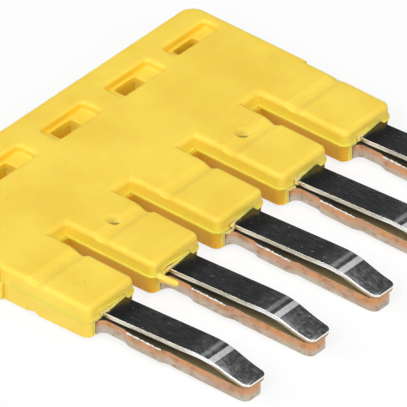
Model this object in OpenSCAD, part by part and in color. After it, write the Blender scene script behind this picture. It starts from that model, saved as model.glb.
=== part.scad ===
// Plug-in cross-connector for a row of five rail terminal blocks.
// Flat insulating housing in two halves, one copper comb with five tongues, five steel spring strips.
// The underside lies on z = 0, the poles run along x, the contacts point to -y.
// All sizes are in millimetres.

/* [Housing] */
// Distance between neighbouring poles
pitch = 6.1; // [6.0:0.05:6.5]
// Depth of the housing from finger front to rear edge
housing_depth = 17; // [16.8:0.1:18]
// Thickness of the upper half above the parting line
upper_t = 1; // [0.95:0.05:1.3]
// Wall under the copper comb
floor_t = 0.25; // [0.2:0.05:0.5]
// Length of a finger from its front to the end of the slot beside it
finger_len = 7.1; // [7.0:0.1:7.5]
// Width of a finger's upper half at the parting line
finger_w = 4.82; // [4.7:0.02:4.86]
// Radius of a finger's front corners, seen from above
finger_corner_r = 0.6; // [0.5:0.05:0.9]
// Radius of the two rear corners, seen from above
rear_corner_r = 1.3; // [1.0:0.1:1.8]
// Step by which the body stands out past the end fingers
end_step = 0.2; // [0.1:0.05:0.4]
// Ledge by which the lower half stands out at the parting line
ledge = 0.03; // [0.02:0.01:0.06]
// Ledge by which the lower half stands out at the slot ends
slot_ledge = 0.25; // [0.1:0.05:0.4]
// Width of the flare at the foot of the upper walls
flare_w = 0.12; // [0.06:0.01:0.14]
// Thickness of the flare at its edge
flare_t = 0.05; // [0.03:0.01:0.08]
// Height of the flare at the foot of the upper walls
flare_h = 0.3; // [0.2:0.02:0.34]
// Taper of the upper walls above the flare
upper_draft = 0.02; // [0.01:0.01:0.04]
// Taper of the lower walls over their height
lower_draft = 0.08; // [0.02:0.01:0.12]
// Rounding of the upper edges
upper_r = 0.35; // [0.25:0.05:0.4]
// Rounding of the lower edges
lower_r = 0.25; // [0.15:0.05:0.35]

/* [Grooves and windows] */
// Distance of the finger groove's deepest line from the finger front
groove_y = 4.45; // [4.3:0.05:4.6]
// Depth of the groove at the sides of a finger
groove_depth = 0.32; // [0.2:0.02:0.4]
// Depth of the upper groove across a finger
groove_top_depth = 0.13; // [0.08:0.01:0.18]
// Width over which the upper groove deepens towards a side
groove_side_w = 0.7; // [0.5:0.05:0.9]
// Depth of the lower groove where it crosses below the copper
groove_mid_depth = 0.12; // [0.05:0.01:0.15]
// Length of the groove's slope towards the finger front
groove_front = 0.62; // [0.5:0.02:0.7]
// Length of the groove's slope towards the body
groove_rear = 0.82; // [0.7:0.02:0.95]
// Width of the deep ends of the lower groove
groove_end_w = 1; // [0.9:0.05:1.2]
// Space between the comb pocket and the deep ends of the lower groove
groove_end_gap = 0.25; // [0.1:0.05:0.3]
// Length of a window along the row
window_len = 4.05; // [3.6:0.05:4.2]
// Depth of a window's floor below the upper face
window_depth = 0.55; // [0.45:0.05:0.65]
// Chamfer of a window's edges
window_lip = 0.12; // [0.05:0.01:0.15]
// Length of the hole in a window's floor
hole_len = 2; // [1.6:0.05:2.4]
// Shift of the hole along the row from the window's middle
hole_shift = -0.3; // [-0.5:0.05:0]
// Floor left in front of the hole and behind it
hole_margin = 0.18; // [0.1:0.02:0.25]
// Width of a window
window_w = 1.58; // [1.3:0.02:1.7]
// Width of the two outer windows
window_end_w = 1.2; // [1.0:0.02:1.5]
// Distance of the windows from the rear edge
window_inset = 2.05; // [1.9:0.05:2.4]
// Shift of the two outer windows towards the middle
window_end_shift = 0.5; // [0.2:0.05:0.8]
// Diameter of a gate dimple at the upper face
dimple_d = 0.95; // [0.7:0.05:1.1]
// Depth of a gate dimple
dimple_depth = 0.32; // [0.2:0.02:0.4]
// Distance of the gate dimples from the finger front
dimple_y = 5.2; // [5.0:0.05:5.8]
// Shift of the gate dimples along the row from the finger's middle
dimple_shift = -0.15; // [-0.3:0.05:0]

/* [Copper comb] */
// Thickness of the copper
comb_t = 0.95; // [0.85:0.05:1.1]
// Width of a tongue outside the housing
tongue_w = 2.3; // [2.1:0.05:2.4]
// Width of a tongue at its tip
tongue_tip_w = 1.7; // [1.5:0.05:1.9]
// Radius of the fillet where a tongue leaves the housing
tongue_fillet_r = 0.55; // [0.45:0.05:0.6]
// Radius of a tongue's tip corners
tongue_tip_r = 0.5; // [0.4:0.05:0.6]
// Distance of a tongue's tip from the finger front
tongue_len = 11.3; // [11:0.05:11.5]
// Drop of a tongue's tip below its root
tongue_drop = 0.29; // [0.2:0.01:0.29]
// Distance of a tongue's retaining barbs from the finger front
barb_y = 1.85; // [1.6:0.05:2.1]
// Length of the step at the rear of a barb
barb_step = 0.45; // [0.1:0.05:0.5]
// Length of a barb at its full width
barb_len = 2.45; // [2.2:0.05:2.7]
// Length of the ramp at the front of a barb
barb_ramp = 0.65; // [0.5:0.05:0.8]
// Width by which a barb stands out at either side
barb_w = 0.18; // [0.1:0.01:0.22]
// Reach of the bend in a tongue to either side
tongue_bend = 0.5; // [0.3:0.05:0.6]
// Width of the web that joins the tongues
web_w = 3.8; // [3.2:0.1:4.0]
// Gap between the slot ends and the web
web_inset = 1.3; // [1.1:0.1:1.5]

/* [Spring strips] */
// Thickness of a strip
strip_t = 0.35; // [0.3:0.01:0.36]
// Width of a strip
strip_w = 2.15; // [2.0:0.05:2.25]
// Width of a strip at its tip
strip_tip_w = 1.6; // [1.4:0.02:1.8]
// Length of a strip outside the housing
strip_len = 11.4; // [11.2:0.05:11.8]
// Radius of a strip's tip corners
strip_tip_r = 0.42; // [0.35:0.01:0.5]
// Length of a strip inside the housing
strip_root = 3.5; // [3.3:0.05:3.6]
// Distance from the finger front at which a strip starts to rise
rise_y = 0.5; // [0.4:0.05:0.6]
// Reach of the wide bends in a strip to either side
strip_bend = 0.45; // [0.35:0.05:0.5]
// Reach of the tight bend behind the crest
strip_tight_bend = 0.3; // [0.2:0.02:0.35]
// Distance of a strip's crest from the finger front
crest_y = 7.2; // [7.0:0.05:7.4]
// Rise of a strip from its root to its crest
crest_rise = 0.42; // [0.38:0.01:0.46]
// Length of the nearly level stretch behind the crest
crest_len = 1.3; // [1.1:0.05:1.4]
// Fall of that stretch
crest_fall = 0.1; // [0.08:0.01:0.14]
// Length of a strip's flat toe
toe_len = 1.35; // [1.2:0.05:1.5]
// Slope of the toe, the same as the copper's below it
toe_slope = 0.09; // [0.05:0.01:0.12]
// Drop of a strip's tip below its root
strip_drop = 0.24; // [0.18:0.01:0.25]
// Distance from the finger front at which tongue and strip start to taper
taper_y = 6.2; // [6.0:0.1:6.6]
// Width of the ears that hold a strip's root
ear_w = 3.2; // [2.9:0.05:3.3]
// Length of the ears
ear_len = 1.2; // [1.0:0.05:1.3]

/* [Clearances] */
// Play around the copper comb in its pocket
comb_clear = 0.05; // [0.03:0.01:0.08]
// Gap between a strip's root and the copper below it
strip_gap = 0.1; // [0.08:0.01:0.14]
// Play around a strip's root in its pocket
strip_clear = 0.06; // [0.05:0.01:0.08]
// Overlap that seats a strip's root in the upper half
strip_seat = 0.01; // [0.005:0.005:0.02]

/* [Hidden] */
poles = 5;
$fn = 48;
eps = 0.01;
reach = 40;
seat = strip_gap + strip_clear - strip_seat;
comb_z = floor_t + comb_clear;
strip_z = comb_z + comb_t + strip_gap;
lower_t = comb_z + comb_t + seat;
housing_t = lower_t + upper_t;
total_depth = housing_depth + strip_len;
front_y = strip_len - total_depth / 2;
rear_y = front_y + housing_depth;
slot_y = front_y + finger_len;
upper_body_w = (poles - 1) * pitch + finger_w + 2 * end_step;
lower_finger_w = finger_w + 2 * ledge;
lower_body_w = upper_body_w + 2 * ledge;
root_w = tongue_w + 2 * tongue_fillet_r;
web_len = (poles - 1) * pitch + root_w;
web_y = slot_y + web_inset;
barb_end = barb_y + barb_step + barb_len + barb_ramp;
ear_y = strip_root - ear_len;
window_rear_y = rear_y - window_inset;
gate_poles = [1, 3];

function pole_x(i) = (i - (poles - 1) / 2) * pitch;
function is_outer(i) = i == 0 || i == poles - 1;
function window_x(i) = pole_x(i) - (is_outer(i) ? sign(pole_x(i)) * window_end_shift : 0);

// Points of a bent line: each knee is [distance, height, reach of the bend to either side]
function flat(p) = [p[0], p[1]];
function toward(p, q) = (flat(q) - flat(p)) / norm(flat(q) - flat(p));
function bend(p, q, r) = [
    for (t = [0 : 0.25 : 1])
        flat(q) + q[2] * ((1 - t) * (1 - t) * toward(q, p) + t * t * toward(q, r))
];
function bent_line(knees) = [
    flat(knees[0]),
    for (k = [1 : len(knees) - 2])
        each bend(knees[k - 1], knees[k], knees[k + 1]),
    flat(knees[len(knees) - 1])
];

// Side view of a bent sheet of thickness t, contacts towards -x
module bent_sheet(knees, t) {
    line = bent_line(knees);
    upper = [for (p = line) [-p[0], p[1] + t]];
    lower = [for (k = [len(line) - 1 : -1 : 0]) [-line[k][0], line[k][1]]];
    polygon(concat(upper, lower));
}

// Quarter of a disc that rounds an edge, in the quadrant of positive u and v
module edge_round(r) {
    intersection() {
        circle(r = r);
        translate([-eps, -eps])
            square(r + 2 * eps);
    }
}

// Upper edge section: u = 0 is the wall foot at the parting line, the solid lies towards -u
module upper_edge(inner) {
    knee = housing_t - upper_r;
    wall = -flare_w - upper_draft;
    cove = flare_h - flare_t;
    polygon([
        [-inner, lower_t], [0, lower_t], [0, lower_t + flare_t],
        [-0.7 * flare_w, lower_t + flare_t + 0.25 * cove], [-flare_w, lower_t + flare_h], [wall, knee],
        [-inner, knee]
    ]);
    translate([-inner, knee - eps])
        square([inner + wall - upper_r, upper_r + eps]);
    translate([wall - upper_r, knee])
        edge_round(upper_r);
}

// Lower edge section, the same way round
module lower_edge(inner) {
    polygon([[-inner, lower_r], [-lower_draft, lower_r], [0, lower_t], [-inner, lower_t]]);
    translate([-inner, 0])
        square([inner - lower_draft - lower_r, lower_r + eps]);
    translate([-lower_draft - lower_r, lower_r])
        mirror([0, 1])
            edge_round(lower_r);
}

module edge(upper, inner) {
    if (upper) upper_edge(inner);
    else lower_edge(inner);
}

// Section with an edge at both ends, of length len, starting at 0
module two_edges(upper, len) {
    translate([len, 0])
        edge(upper, len / 2);
    mirror([1, 0])
        edge(upper, len / 2);
}

// Bar along x with edges at front and rear
module bar_x(upper, x0, x1, y0, y1) {
    translate([x0, y0, 0])
        rotate([90, 0, 90])
            linear_extrude(x1 - x0)
                two_edges(upper, y1 - y0);
}

// Bar along y with edges at its two sides
module bar_y(upper, w, y0, y1) {
    translate([-w / 2, y1, 0])
        rotate([90, 0, 0])
            linear_extrude(y1 - y0)
                two_edges(upper, w);
}

// Quarter of a round corner, turned to its place
module corner(upper, r, turn) {
    rotate([0, 0, turn])
        rotate_extrude(angle = 90)
            intersection() {
                translate([r, 0])
                    edge(upper, r);
                square([r, housing_t]);
            }
}

// One finger from its front into the body
module finger(upper, w) {
    r = finger_corner_r;
    inner = w / 2 - r;
    bar_y(upper, w, r, finger_len + upper_t);
    intersection() {
        bar_x(upper, -inner, inner, 0, finger_len + upper_t);
        translate([-w, 0, 0])
            cube([2 * w, r, housing_t]);
    }
    for (side = [-1, 1])
        translate([side * inner, r, 0])
            corner(upper, r, side < 0 ? 180 : 270);
}

// Body plate behind the fingers
module plate(upper, w) {
    r = rear_corner_r;
    inner = w / 2 - r;
    slot_end = slot_y - (upper ? 0 : slot_ledge);
    bar_x(upper, -inner, inner, slot_end, rear_y);
    for (side = [-1, 1]) {
        translate([side * inner, rear_y - r, 0])
            corner(upper, r, side < 0 ? 90 : 0);
        intersection() {
            bar_y(upper, w, slot_end, rear_y - r);
            bar_x(upper, side < 0 ? -w / 2 : inner, side < 0 ? -inner : w / 2, slot_end, rear_y);
        }
    }
}

module half_blank(upper) {
    plate(upper, upper ? upper_body_w : lower_body_w);
    for (i = [0 : poles - 1])
        translate([pole_x(i), front_y, 0])
            finger(upper, upper ? finger_w : lower_finger_w);
}

// Shallow window with a chamfered rim, and a hole through its floor
module window(i) {
    half = window_len / 2;
    w = is_outer(i) ? window_end_w : window_w;
    rim = housing_t - window_lip;
    translate([window_x(i), window_rear_y, 0]) {
        rotate([90, 0, 0])
            linear_extrude(w)
                polygon([
                    [-half, housing_t - window_depth], [half, housing_t - window_depth], [half, rim],
                    [half + 2 * window_lip, housing_t + window_lip],
                    [-half - 2 * window_lip, housing_t + window_lip], [-half, rim]
                ]);
        translate([hole_shift - hole_len / 2, hole_margin - w, -eps])
            cube([hole_len, w - 2 * hole_margin, housing_t]);
    }
}

// Soft groove across fingers: rear slope longer than the front slope
module groove(depth, x0, x1) {
    translate([x0, front_y + groove_y, 0])
        rotate([90, 0, 90])
            linear_extrude(x1 - x0)
                polygon([
                    [-1.2 * groove_front, housing_t], [-groove_front, eps],
                    [-0.68 * groove_front, -0.35 * depth], [-0.2 * groove_front, -0.95 * depth],
                    [0.06 * groove_rear, -depth], [0.3 * groove_rear, -0.88 * depth],
                    [0.73 * groove_rear, -0.25 * depth], [groove_rear, eps],
                    [1.2 * groove_rear, housing_t]
                ]);
}

// The upper groove is shallow across a finger and runs deeper towards its sides
module upper_groove() {
    start = groove_top_depth / 2;
    slope = atan((groove_depth - start) / groove_side_w);
    translate([0, 0, housing_t]) {
        groove(groove_top_depth, -reach / 2, reach / 2);
        for (i = [0 : poles - 1])
            for (side = [0, 1])
                translate([pole_x(i), 0, 0])
                    mirror([side, 0, 0])
                        translate([finger_w / 2 - groove_side_w, 0, start])
                            rotate([0, slope, 0])
                                groove(groove_top_depth, 0, groove_side_w + ledge + flare_w);
    }
}

// The lower groove is deep beside the copper and shallow below it
module lower_groove() {
    start = root_w / 2 + comb_clear + groove_end_gap;
    mirror([0, 0, 1])
        groove(groove_mid_depth, -reach / 2, reach / 2);
    for (i = [0 : poles - 1])
        for (side = [-1, 1])
            translate([pole_x(i) + side * (start + groove_end_w / 2), 0, 0])
                mirror([0, 0, 1])
                    groove(groove_depth, -groove_end_w / 2, groove_end_w / 2);
}

// Dished mark left by an injection gate, with the broken nub in its middle
module gate_dimple() {
    difference() {
        cylinder(h = dimple_depth + eps, d1 = 0.6 * dimple_d, d2 = dimple_d);
        cylinder(h = 0.4 * dimple_depth, d1 = 0.36 * dimple_d, d2 = 0.28 * dimple_d);
    }
}

// Room for the comb, open towards the upper half and at the finger fronts
module comb_pocket() {
    top = lower_t - floor_t + eps;
    c = comb_clear;
    translate([-web_len / 2 - c, web_y - c, floor_t])
        cube([web_len + 2 * c, web_w + 2 * c, top]);
    for (i = [0 : poles - 1])
        translate([pole_x(i) - root_w / 2 - c, front_y - upper_t, floor_t])
            cube([root_w + 2 * c, web_y - front_y + upper_t + c, top]);
}

// Room for a strip's root in the upper half
module strip_pocket() {
    c = strip_clear;
    top = strip_z + strip_t + c - lower_t;
    translate([-strip_w / 2 - c, -upper_t, lower_t - eps])
        cube([strip_w + 2 * c, ear_y + upper_t, top + eps]);
    translate([-ear_w / 2 - c, ear_y - c, lower_t - eps])
        cube([ear_w + 2 * c, strip_root - ear_y + 2 * c, top + eps]);
}

module upper_shell() {
    color("#f3d658")
        difference() {
            half_blank(true);
            for (i = [0 : poles - 1]) {
                window(i);
                translate([pole_x(i), front_y, 0])
                    strip_pocket();
            }
            upper_groove();
            for (i = gate_poles)
                translate([pole_x(i) + dimple_shift, front_y + dimple_y, housing_t - dimple_depth])
                    gate_dimple();
        }
}

module lower_shell() {
    color("#efcd48")
        difference() {
            half_blank(false);
            for (i = [0 : poles - 1])
                window(i);
            lower_groove();
            comb_pocket();
        }
}

// What is taken off the two corners of a tip to round them
module tip_corners(tip, len, r) {
    for (side = [0, 1])
        mirror([side, 0])
            translate([tip - r, -len])
                difference() {
                    translate([0, -r])
                        square([2 * r, 2 * r]);
                    translate([0, r])
                        circle(r = r);
                }
}

// Outline of one tongue from above, y = 0 at the finger front, with retaining barbs at both sides
module tongue_outline() {
    f = tongue_fillet_r;
    tip = tongue_tip_w / 2;
    half = tongue_w / 2;
    root = root_w / 2;
    back = web_y - front_y + web_w;
    side = [
        [root, back], [root, -f], [half, -f], [half, -barb_y], [half + barb_w, -barb_y - barb_step],
        [half + barb_w, barb_ramp - barb_end], [half, -barb_end], [half, -taper_y], [tip, -tongue_len]
    ];
    other = [for (k = [len(side) - 1 : -1 : 0]) [-side[k][0], side[k][1]]];
    difference() {
        polygon(concat(side, other));
        for (side = [-1, 1])
            translate([side * (half + f), -f])
                circle(r = f);
        tip_corners(tip, tongue_len, tongue_tip_r);
    }
}

// Underside of the comb from the rear of the web to the tips, which slope down past the barbs
module comb_section() {
    bent_sheet([
        [front_y - web_y - web_w, 0, 0],
        [barb_end, 0, tongue_bend],
        [tongue_len, -tongue_drop, 0]
    ], comb_t);
}

module copper_comb() {
    color("#c98a62")
        translate([0, front_y, comb_z])
            intersection() {
                translate([-reach / 2, 0, 0])
                    rotate([90, 0, 90])
                        linear_extrude(reach)
                            comb_section();
                union() {
                    translate([-web_len / 2, web_y - front_y, -comb_t])
                        cube([web_len, web_w, 3 * comb_t]);
                    for (i = [0 : poles - 1])
                        translate([pole_x(i), 0, -comb_t])
                            linear_extrude(3 * comb_t)
                                tongue_outline();
                }
            }
}

// Underside of a strip: straight root, long rise, crest, steep fall and flat toe
module strip_section() {
    bent_sheet([
        [-strip_root, 0, 0],
        [rise_y, 0, strip_bend],
        [crest_y, crest_rise, strip_bend],
        [crest_y + crest_len, crest_rise - crest_fall, strip_tight_bend],
        [strip_len - toe_len, toe_len * toe_slope - strip_drop, strip_bend],
        [strip_len, -strip_drop, 0]
    ], strip_t);
}

// Outline of a strip from above, with ears at the root and a narrowed round-cornered tip
module strip_outline() {
    tip = strip_tip_w / 2;
    half = strip_w / 2;
    ear = ear_w / 2;
    difference() {
        polygon([
            [-ear, strip_root], [ear, strip_root], [ear, ear_y], [half, ear_y], [half, -taper_y],
            [tip, -strip_len], [-tip, -strip_len], [-half, -taper_y], [-half, ear_y], [-ear, ear_y]
        ]);
        tip_corners(tip, strip_len, strip_tip_r);
    }
}

module contact_spring(i) {
    color("#aeb1b3")
        translate([pole_x(i), front_y, strip_z])
            intersection() {
                translate([-strip_w, 0, 0])
                    rotate([90, 0, 90])
                        linear_extrude(2 * strip_w)
                            strip_section();
                translate([0, 0, -2 * strip_t])
                    linear_extrude(6 * strip_t)
                        strip_outline();
            }
}

module contact_spring_1() { contact_spring(0); }
module contact_spring_2() { contact_spring(1); }
module contact_spring_3() { contact_spring(2); }
module contact_spring_4() { contact_spring(3); }
module contact_spring_5() { contact_spring(4); }

upper_shell();
lower_shell();
copper_comb();
contact_spring_1();
contact_spring_2();
contact_spring_3();
contact_spring_4();
contact_spring_5();
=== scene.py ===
# %% [markdown]
# A plug-in comb jumper for a row of terminal blocks: a yellow moulded housing with fingers, a stamped
# copper comb inside it, and a bowed steel spring strip over each copper tongue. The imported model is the
# fixed frame: every piece made here sits where that frame says, in metres.

# %% Load the frame
import math

import bmesh
import bpy
import numpy as np
from mathutils import Matrix, Vector


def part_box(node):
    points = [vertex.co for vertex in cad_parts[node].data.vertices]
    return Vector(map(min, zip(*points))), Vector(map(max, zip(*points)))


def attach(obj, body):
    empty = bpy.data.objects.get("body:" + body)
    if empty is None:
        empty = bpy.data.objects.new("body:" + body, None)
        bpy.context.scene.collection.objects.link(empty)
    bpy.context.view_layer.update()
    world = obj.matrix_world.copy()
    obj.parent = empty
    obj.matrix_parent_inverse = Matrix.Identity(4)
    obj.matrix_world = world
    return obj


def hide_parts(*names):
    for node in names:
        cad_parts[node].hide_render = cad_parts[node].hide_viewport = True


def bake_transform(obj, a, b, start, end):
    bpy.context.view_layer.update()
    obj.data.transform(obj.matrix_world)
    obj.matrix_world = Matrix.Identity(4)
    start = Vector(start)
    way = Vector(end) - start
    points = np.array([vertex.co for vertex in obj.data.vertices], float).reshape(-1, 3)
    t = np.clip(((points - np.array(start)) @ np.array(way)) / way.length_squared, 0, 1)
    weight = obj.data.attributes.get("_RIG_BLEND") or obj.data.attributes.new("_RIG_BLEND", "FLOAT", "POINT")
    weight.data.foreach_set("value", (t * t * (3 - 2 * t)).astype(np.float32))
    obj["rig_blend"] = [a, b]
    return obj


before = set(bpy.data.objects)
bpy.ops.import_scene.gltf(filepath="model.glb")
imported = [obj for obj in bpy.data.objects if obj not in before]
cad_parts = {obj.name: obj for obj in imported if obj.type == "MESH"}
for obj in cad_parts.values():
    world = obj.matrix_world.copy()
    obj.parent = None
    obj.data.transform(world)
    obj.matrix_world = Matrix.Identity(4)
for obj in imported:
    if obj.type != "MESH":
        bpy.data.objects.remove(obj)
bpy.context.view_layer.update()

MM = 0.001

# %% [markdown]
# The driving places come from the frame itself: where the fingers end, where the parting line of the
# housing runs, how high the copper lies and where each contact stands. Reading them here keeps the looks
# in step with the solids.

# %% Places taken from the frame
shell_low, shell_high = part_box("upper_shell")
comb_low, comb_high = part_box("copper_comb")
front_y = shell_low.y
rear_y = shell_high.y
top_z = shell_high.z
parting_z = shell_low.z
copper_z = comb_high.z
spring_nodes = sorted(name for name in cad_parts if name.startswith("contact_spring"))
spring_boxes = [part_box(name) for name in spring_nodes]
pole_x = [(low.x + high.x) / 2 for low, high in spring_boxes]
pitch = pole_x[1] - pole_x[0]
strip_root = (spring_boxes[0][1].y - front_y) / MM
strip_length = (front_y - spring_boxes[0][0].y) / MM
print("finger front %.2f mm, parting line %.2f mm" % (front_y / MM, parting_z / MM))
print("pitch %.2f mm" % (pitch / MM))
print("strips reach %.2f mm out and %.2f mm in" % (strip_length, strip_root))

# %% [markdown]
# The camera looks down on the contacts from their left. It was placed by matching the corners of the
# fingers in the picture, so it needs no lens shift: a long lens far away keeps the lines nearly parallel.

# %% Camera
CAMERA_AZIMUTH = math.radians(-49.45)
CAMERA_ELEVATION = math.radians(35.58)
CAMERA_DISTANCE = 0.8
FRAME_WIDTH = 25.142 * MM
TARGET_RIGHT = -2.472 * MM
TARGET_UP = 2.116 * MM

level = math.cos(CAMERA_ELEVATION)
view_back = Vector((math.sin(CAMERA_AZIMUTH) * level, -math.cos(CAMERA_AZIMUTH) * level,
                    math.sin(CAMERA_ELEVATION)))
view_right = Vector((math.cos(CAMERA_AZIMUTH), math.sin(CAMERA_AZIMUTH), 0))
view_up = view_back.cross(view_right)
target = Vector((0, front_y, 0)) + view_right * TARGET_RIGHT + view_up * TARGET_UP

camera = bpy.data.objects.new("camera", bpy.data.cameras.new("camera"))
camera.location = target + view_back * CAMERA_DISTANCE
camera.rotation_mode = "QUATERNION"
camera.rotation_quaternion = (-view_back).to_track_quat("-Z", "Y")
camera.data.sensor_width = 36
camera.data.lens = camera.data.sensor_width * CAMERA_DISTANCE / FRAME_WIDTH
camera.data.clip_start = 0.01
camera.data.clip_end = 10
bpy.context.scene.collection.objects.link(camera)
bpy.context.scene.camera = camera
bpy.context.scene.view_settings.view_transform = "Standard"
print("lens %.0f mm" % camera.data.lens)

# %% [markdown]
# Node trees, for materials and for geometry, are written with two helpers: one adds a node with its
# settings, and one fills its inputs with plain values or with links from other nodes. In the names of
# inputs an underscore stands for a space, and an underscore with a number for the input of that number.

# %% Helpers for node trees
def fill(tree, sockets, **values):
    for name, value in values.items():
        socket = sockets[int(name[1:])] if name[1:].isdigit() else sockets[name.replace("_", " ")]
        if isinstance(value, bpy.types.NodeSocket):
            tree.links.new(value, socket)
        else:
            socket.default_value = value


def add(tree, kind, settings=None, **inputs):
    node = tree.nodes.new(kind)
    for name, value in (settings or {}).items():
        setattr(node, name, value)
    fill(tree, node.inputs, **inputs)
    return node


def math_node(tree, operation, *values, clamp=False):
    inputs = {"_%d" % k: value for k, value in enumerate(values)}
    return add(tree, "ShaderNodeMath", {"operation": operation, "use_clamp": clamp}, **inputs).outputs[0]


def times(tree, first, *others):
    """Product of two or more values."""
    for value in others:
        first = math_node(tree, "MULTIPLY", first, value)
    return first


def size_of(tree, value):
    """The value without its sign."""
    return math_node(tree, "ABSOLUTE", value)


def split(tree, vector):
    """X, Y and Z of a vector."""
    return add(tree, "ShaderNodeSeparateXYZ", Vector=vector).outputs


def spread(tree, value, low, high, to_low=0.0, to_high=1.0):
    """Stretch a value from one range to another, with soft ends."""
    return add(tree, "ShaderNodeMapRange", {"interpolation_type": "SMOOTHSTEP"}, Value=value, From_Min=low,
               From_Max=high, To_Min=to_low, To_Max=to_high).outputs[0]


def empty_material(name):
    material = bpy.data.materials.new(name)
    material.use_nodes = True
    material.node_tree.nodes.clear()
    return material, material.node_tree


# %% [markdown]
# The set is a white floor with a low white wall far around it, under large soft lamps. The floor glows
# for the camera and for reflections, so the background is white, and still takes the object's shadow.
# The room above the wall stays dark, because bright spring steel only looks like steel when it has
# something dark to mirror.

# %% Floor, wall and light
FLOOR_REACH = 1.6
WALL_HEIGHT = 0.3
FLOOR_DROP = 0.02 * MM
FLOOR_STEPS = 64
FLOOR_GLOW = 0.8
FLOOR_WHITE = (0.86, 0.86, 0.86, 1)
DARK_ROOM = (0.08, 0.08, 0.083, 1)


def make_stage():
    material, tree = empty_material("white_stage")
    path = add(tree, "ShaderNodeLightPath").outputs
    seen = math_node(tree, "ADD", path["Is Camera Ray"], path["Is Glossy Ray"], clamp=True)
    seen = math_node(tree, "ADD", seen, path["Is Transmission Ray"], clamp=True)
    share = times(tree, seen, FLOOR_GLOW)
    lit = add(tree, "ShaderNodeBsdfDiffuse", Color=FLOOR_WHITE)
    glow = add(tree, "ShaderNodeEmission", Color=(1, 1, 1, 1), Strength=1.0)
    mix = add(tree, "ShaderNodeMixShader", _0=share, _1=lit.outputs[0], _2=glow.outputs[0])
    add(tree, "ShaderNodeOutputMaterial", Surface=mix.outputs[0])
    steps = FLOOR_STEPS
    turns = [2 * math.pi * k / steps for k in range(steps)]
    ring = [(math.cos(turn) * FLOOR_REACH, math.sin(turn) * FLOOR_REACH) for turn in turns]
    points = [(x, y, -FLOOR_DROP) for x, y in ring] + [(x, y, WALL_HEIGHT) for x, y in ring]
    wall = [(k, k + steps, (k + 1) % steps + steps, (k + 1) % steps) for k in range(steps)]
    mesh = bpy.data.meshes.new("stage_floor")
    mesh.from_pydata(points, [], [list(range(steps))] + wall)
    mesh.materials.append(material)
    floor = bpy.data.objects.new("stage_floor", mesh)
    bpy.context.scene.collection.objects.link(floor)


def area_lamp(name, place, size, power):
    """A lamp that faces the object: place and size in metres, power in watts."""
    lamp = bpy.data.lights.new(name, "AREA")
    lamp.shape = "RECTANGLE"
    lamp.size, lamp.size_y = size
    lamp.energy = power
    holder = bpy.data.objects.new(name, lamp)
    holder.location = place
    holder.rotation_euler = (-Vector(place)).to_track_quat("-Z", "Y").to_euler()
    bpy.context.scene.collection.objects.link(holder)


make_stage()
area_lamp("top_panel", (-0.05, -0.1, 0.6), (0.5, 0.5), 1.85)
area_lamp("left_panel", (-0.54, -0.05, 0.42), (0.3, 0.3), 2.0)
area_lamp("front_panel", (-0.05, -0.55, 0.36), (0.5, 0.4), 1.9)
area_lamp("rear_panel", (-0.35, 0.45, 0.45), (0.3, 0.3), 1.35)
world = bpy.data.worlds.new("dark_room")
world.use_nodes = True
world.node_tree.nodes["Background"].inputs["Color"].default_value = DARK_ROOM
bpy.context.scene.world = world
print("stage and", len(bpy.data.lights), "lamps")

# %% [markdown]
# A finish is a material with one shader. Its pattern comes from a noise at a point's place in the frame, from
# the way a surface faces or from a value that the mesh carries, so no piece has to be unwrapped.

# %% Helpers for finishes
# Most values of a noise lie in this range.
NOISE_RANGE = (0.3, 0.7)


def new_material(name):
    """A material with one shader, its tree, the shader's inputs and the coordinates in the frame."""
    material, tree = empty_material(name)
    shader = add(tree, "ShaderNodeBsdfPrincipled")
    add(tree, "ShaderNodeOutputMaterial", Surface=shader.outputs[0])
    return material, tree, shader.inputs, add(tree, "ShaderNodeTexCoord").outputs["Object"]


def noise(tree, place, scale, detail=2.0, roughness=0.5):
    """Soft noise, scale in waves per metre."""
    return add(tree, "ShaderNodeTexNoise", Vector=place, Scale=scale, Detail=detail,
               Roughness=roughness).outputs[0]


def facing(tree):
    """X, Y and Z of the way a surface faces."""
    return split(tree, add(tree, "ShaderNodeNewGeometry").outputs["Normal"])


def mark(tree, name):
    """Value of a mesh's own attribute."""
    return add(tree, "ShaderNodeAttribute", {"attribute_name": name}).outputs["Fac"]


def mix_colour(tree, share, first, second):
    """Mix two colours, each a link or its red, green and blue."""
    first, second = ((*tone, 1) if isinstance(tone, tuple) else tone for tone in (first, second))
    return add(tree, "ShaderNodeMix", {"data_type": "RGBA"}, _0=share, _6=first, _7=second).outputs[2]


def bumps(tree, height, strength, distance):
    """Normal of a surface with fine bumps."""
    return add(tree, "ShaderNodeBump", Strength=strength, Distance=distance, Height=height).outputs[0]


# %% [markdown]
# The housing is a satin polyamide moulding. Its yellow isn't even: the melt leaves faint clouds, and the
# eroded mould leaves a fine grain. The colour follows a soft noise, and bump and roughness a finer one.
# A little light goes into the plastic and comes out again nearby, which softens the rims. The walls of the
# narrow slots and windows get painted light and shade in a deeper orange, standing in for light that bounces
# from wall to wall: painted shade on the lower slot walls, painted light on the upper ones. Above the strips
# the front wall gets painted light, a clearer yellow. These places come first.

# %% Where painted light and shade go on the plastic
SLOT_WIDTH = 1.9 * MM
SLOT_BLUR = 0.02
SLOT_END = front_y + 7.1 * MM
WINDOW_ZONE = (1.7 * MM, 4.0 * MM)
WINDOW_OUTER = 2 * MM
WINDOW_FLOOR_BOUNCE = 0.2
# Where each share of painted light and shade fades from zero to one.
SLOT_AHEAD = (SLOT_END + 0.3 * MM, SLOT_END + 0.2 * MM)
SLOT_BELOW = (top_z - 0.1 * MM, top_z - 0.5 * MM)
SLOT_ABOVE = (0.02 * MM, 0.2 * MM)
WINDOW_BELOW = (top_z - 0.04 * MM, top_z - 0.25 * MM)
WALL_TURN = (0.3, 0.8)
ROOT_NEAR = (1.6 * MM / pitch, 1.2 * MM / pitch)
ROOT_AHEAD = (front_y + 0.3 * MM, front_y + 0.15 * MM)
ROOT_BELOW = (top_z - 0.25 * MM, top_z - 0.55 * MM)


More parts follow.
